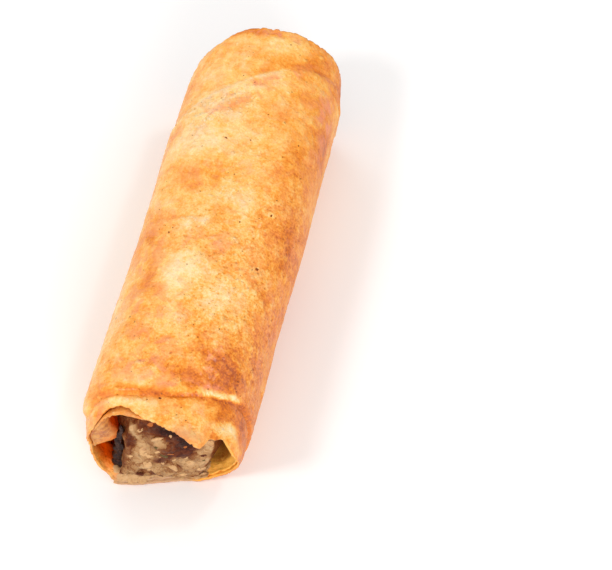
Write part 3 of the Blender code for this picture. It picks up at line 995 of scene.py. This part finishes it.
meatBits = {
    "front": [
        (-0.5, 15.6, 2.3, 1.9, 0.9, 0), (-2.6, 8.2, 2.4, 1.8, 0.9, 30), (5.8, 8.6, 3, 1.8, 0.9, 10),
        (7.9, 14.2, 2, 2.4, 0.9, 0), (1.8, 6.6, 2.2, 1.3, 0.8, 0), (-2.7, 11.7, 1.8, 2.2, 0.8, 20),
        (8.4, 17.4, 1.8, 1.8, 0.8, 0), (-0.6, 12.4, 1.6, 1.2, 0.7, 40), (4.4, 4.6, 2.2, 1, 0.6, 5),
        (0.9, 3.4, 1.8, 0.8, 0.6, 0), (6.9, 6.2, 1.8, 1, 0.6, 20), (-5.6, 4.4, 1.6, 1.2, 0.7, 0),
        (-2.2, 5.4, 1.5, 0.9, 0.6, 60), (2.4, 9.4, 1.2, 0.9, 0.6, 10), (-6.3, 3.4, 1.2, 0.8, 0.6, 0),
    ],
    "looseFront": 14,
    "looseFar": 60,
    "onLip": 190,
    "seed": 60.0,
    "rugged": 0.32,
    "sunk": 0.4,
    "food": ("Cooked pork mince", ["#b98a5a", "#cfa473", "#9e6c42"], 0.9, 0.5, 0.08),
}
carrotBits = {
    "front": [
        (-2, 19.3, 1.5, 1, 0.5, -20), (1.9, 12.2, 1.6, 0.6, 0.5, -25), (4.2, 13.7, 0.9, 0.5, 0.4, 10),
    ],
    "looseFront": 0,
    "looseFar": 9,
    "onLip": 0,
    "seed": 90.0,
    "rugged": 0.4,
    "sunk": 0.3,
    "food": ("Cooked carrot", ["#9a5222", "#b4672e"], 0.9, 0.5, 0.1),
}
onionBits = {
    "front": [(0.7, 11.2, 1.5, 1.1, 0.5, 10), (-0.8, 13.9, 0.8, 0.6, 0.4, 40), (7.4, 9.6, 0.7, 0.5, 0.4, 0)],
    "looseFront": 0,
    "looseFar": 7,
    "onLip": 0,
    "seed": 120.0,
    "rugged": 0.4,
    "sunk": 0.3,
    "food": ("Cooked spring onion", ["#51401c", "#6e5a30"], 0.9, 0.5, 0.1),
}


def looseSpots(count):
    # Random places over a face of the filling
    wide, tall, middle = 9.2, 8.6, 12.8
    for _ in range(count):
        around, out = random.uniform(0, 2 * math.pi), math.sqrt(random.random())
        yield wide * out * math.cos(around), middle + tall * out * math.sin(around)


def lipSpots(count, tree):
    # Random places on the mouth's lower lip, with the normal there
    for _ in range(count):
        x = random.uniform(-8.2, 7.5)
        rim = closedCurve(sheetForm["frontRim"], math.degrees(math.atan2(-11.5, x)))
        start = Vector((x, rim + random.uniform(0.7, 3.0), 6.0)) * mm + rollShift
        spot, normal, _, _ = tree.ray_cast(start, Vector((0.0, 0.0, -1.0)))
        if spot is not None and spot.z > 0.6 * mm:
            yield spot, normal


def makeBits(name, choice, face, crust):
    models = [modelLump(name + str(k), choice["rugged"], choice["seed"] + 9.0 * k) for k in range(3)]
    copies = []
    places = [(x, z, -1, size, turn) for x, z, *size, turn in choice["front"]]
    for end in (-1, 1):
        for x, z in looseSpots(choice["looseFront"] if end < 0 else choice["looseFar"]):
            long = random.uniform(0.7, 1.5) if end < 0 else random.uniform(0.8, 2.6)
            size = (long, long * random.uniform(0.5, 0.9), 0.35 + 0.2 * long)
            places.append((x, z, end, size, random.uniform(0, 360)))
    for x, z, end, size, turn in places:
        spot, normal = onEnd(face, x, z, end)
        if spot is not None and abs(normal.y) > 0.35:
            spot = spot - normal * choice["sunk"] * size[2] * mm
            copies.append(layFlat(random.choice(models), spot, normal, math.radians(turn), size))
    for spot, normal in lipSpots(choice["onLip"], crust):
        long = random.uniform(0.6, 1.9)
        size = (long, long * random.uniform(0.6, 0.9), 0.15 + 0.15 * long)
        turn = math.radians(random.uniform(0, 360))
        copies.append(layFlat(random.choice(models), spot, normal, turn, size))
    return joinAll(copies, name, models)


# Folds of wood ear down the filling's left side: (x, y, z, width, thickness, height, turn in degrees)
woodEar = {
    "folds": [
        (-7.3, -38.6, 14.6, 1, 1, 3.2, -6), (-7.7, -38.7, 12.4, 1.4, 1.1, 3.2, 4),
        (-8.1, -38.7, 10.2, 1.5, 1.3, 3.2, -8), (-7.6, -38.9, 8.6, 1.5, 1.2, 3, 10),
        (-8.3, -38.7, 7.4, 1.6, 1.4, 3.2, -4), (-7.6, -38.9, 5.8, 1.7, 1.3, 3, 6),
        (-8.5, -38.9, 4.9, 1.6, 1.4, 2.8, -12), (-7.9, -39.2, 3.2, 3, 1.4, 2.2, 0),
        (-6.7, -39.2, 3.8, 1.6, 1.2, 2.4, 14), (-8.3, -39.4, 2.4, 2.6, 1.4, 1.6, 0),
    ],
    "voxel": 0.2,
    "crumple": 0.22,
    "crumpleSize": 0.8,
    "food": ("Wet wood ear fungus", ["#140604", "#2a1009", "#472212"], 0.6, 0.42, 0.22),
}


def makeWoodEar():
    # Overlapping folds, melted into one crumpled dark piece
    w = woodEar
    model = modelLump("earFold", 0.35, 21.0)
    folds = []
    for x, y, z, wide, thick, tall, turn in w["folds"]:
        fold = copyOf(model)
        tilt = Matrix.Rotation(math.radians(turn), 4, "Y") @ Matrix.Diagonal((wide, thick, tall, 1.0))
        fold.matrix_world = Matrix.Translation(Vector((x, y, z)) * mm + rollShift) @ tilt
        folds.append(fold)
    ear = joinAll(folds, "woodEarFolds", [model])
    applyModifier(ear, "REMESH", "one piece", mode="VOXEL", voxel_size=w["voxel"] * mm)
    points = readPoints(ear.data) / mm
    crumple = fractalNoise(points * [1.6, 1.0, 0.7], w["crumpleSize"], 3)
    writePoints(ear.data, (points + readNormals(ear.data) * (w["crumple"] * crumple)[:, None]) * mm)
    ear.data.shade_smooth()
    return ear


# Dark crumbs stuck to the crust from the frying oil: (angle, y, size in millimetres)
fryCrumbs = {
    "placed": [
        (52, 5.5, 0.6), (103, 19.5, 0.42), (83, 20, 0.42), (51, 9, 0.4), (125, -2.5, 0.5),
        (123, -1.5, 0.34), (51, -6, 0.55), (94, -36, 0.6), (60, 4, 0.34), (66, -20.5, 0.34),
        (120, -32, 0.36), (104, 34, 0.3), (88, 12, 0.3), (73, 2, 0.36), (111, 7, 0.3), (40, -30, 0.45),
        (150, -20, 0.34), (98, -15.5, 0.3), (85, -21, 0.36), (136, 26, 0.3), (38, 16, 0.4), (47, 22, 0.34),
        (78, -38.5, 0.34), (70, -39, 0.28), (140, -37, 0.3),
    ],
    "scattered": 100,
    "food": ("Scorched crumbs", ["#713210", "#a05218"], 0.5, 0.6, 0.0),
}


def makeFryCrumbs(tree):
    models = [modelLump("fryCrumb" + str(k), 0.5, 40.0 + 7.0 * k) for k in range(2)]
    places = list(fryCrumbs["placed"])
    for _ in range(fryCrumbs["scattered"]):
        places.append((random.uniform(-40, 220), random.uniform(-39, 42), random.uniform(0.14, 0.3)))
    copies = []
    centre = rollForm["height"] / 2 - rollForm["flatDepth"]
    for angle, y, size in places:
        outwards = Vector((math.cos(math.radians(angle)), 0.0, math.sin(math.radians(angle))))
        start = Vector((0.0, y, centre)) * mm + outwards * 0.03 + rollShift
        spot, normal, _, _ = tree.ray_cast(start, -outwards)
        if spot is not None:
            spot = spot - normal * 0.2 * size * mm
            flat = (size, size * random.uniform(0.7, 1.0), size * 0.6)
            copies.append(layFlat(random.choice(models), spot, normal, random.uniform(0, 6.3), flat))
    return joinAll(copies, "fryCrumbs", models)


# Plain white table, soft daylight from above and behind on the left
stageForm = {
    "floorSize": 3.0,
    "floorColour": "#fbfaf9",
    "skyStrength": 0.7,
    "skyColour": "#ffffff",
    # Lights: (name, place in metres, size, power)
    "lights": [
        ("windowLight", (-0.5, -0.5, 0.75), 0.2, 3.0), ("fillLight", (0.4, -0.75, 0.45), 0.4, 3.6),
        ("sparkLight", (0.35, 0.3, 0.8), 0.1, 0.7), ("sheenLight", (-0.5, 0.5, 0.5), 0.4, 0.8),
    ],
    "target": (0.0, 0.0, 12.7),
    "azimuth": 14.0,
    "elevation": 58.0,
    "distance": 0.421,
    "lens": 135.0,
    "shift": (0.147, -0.0376),
}


def makeStage():
    g = stageForm
    deselectAll()
    bpy.ops.mesh.primitive_plane_add(size=g["floorSize"], location=(0, 0, 0))
    floor = bpy.context.active_object
    floor.name = "floor"
    values = {"Base Color": toLinear(g["floorColour"]), "Roughness": 0.7}
    floor.data.materials.append(newMaterial("White table", values)[0])

    scene = bpy.context.scene
    scene.world = bpy.data.worlds.new("studio")
    scene.world.use_nodes = True
    background = scene.world.node_tree.nodes["Background"]
    background.inputs["Color"].default_value = toLinear(g["skyColour"])
    background.inputs["Strength"].default_value = g["skyStrength"]
    scene.view_settings.view_transform = "Standard"

    aim = Vector(g["target"]) * mm + rollShift
    for name, place, size, power in g["lights"]:
        light = bpy.data.lights.new(name, "AREA")
        light.size = size
        light.energy = power
        lamp = bpy.data.objects.new(name, light)
        scene.collection.objects.link(lamp)
        lamp.location = place
        lamp.rotation_euler = (aim - lamp.location).to_track_quat("-Z", "Y").to_euler()

    turn, tilt = math.radians(g["azimuth"]), math.radians(g["elevation"])
    back = Vector((math.sin(turn) * math.cos(tilt), -math.cos(turn) * math.cos(tilt), math.sin(tilt)))
    camera = bpy.data.objects.new("camera", bpy.data.cameras.new("camera"))
    scene.collection.objects.link(camera)
    camera.location = aim + back * g["distance"]
    camera.rotation_euler = (-back).to_track_quat("-Z", "Y").to_euler()
    camera.data.lens = g["lens"]
    camera.data.shift_x, camera.data.shift_y = g["shift"]
    camera.data.clip_start = 0.01
    scene.camera = camera


wrapper = makeWrapper()
wrapper.data.materials.clear()
wrapper.data.materials.append(friedPastry())
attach(wrapper, "root")
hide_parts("wrapper")

filling = makeFilling()
filling.data.materials.append(cookedMince())
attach(filling, "root")
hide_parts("filling")

face, crust = treeOf(filling), treeOf(wrapper)
for name, choice in (
    ("mushroomBits", mushroomBits), ("meatBits", meatBits), ("carrotBits", carrotBits),
    ("onionBits", onionBits),
):
    layOn(makeBits(name, choice, face, crust), plainFood(*choice["food"]))
layOn(makeWoodEar(), plainFood(*woodEar["food"]))
layOn(makeFryCrumbs(crust), plainFood(*fryCrumbs["food"]))

makeStage()
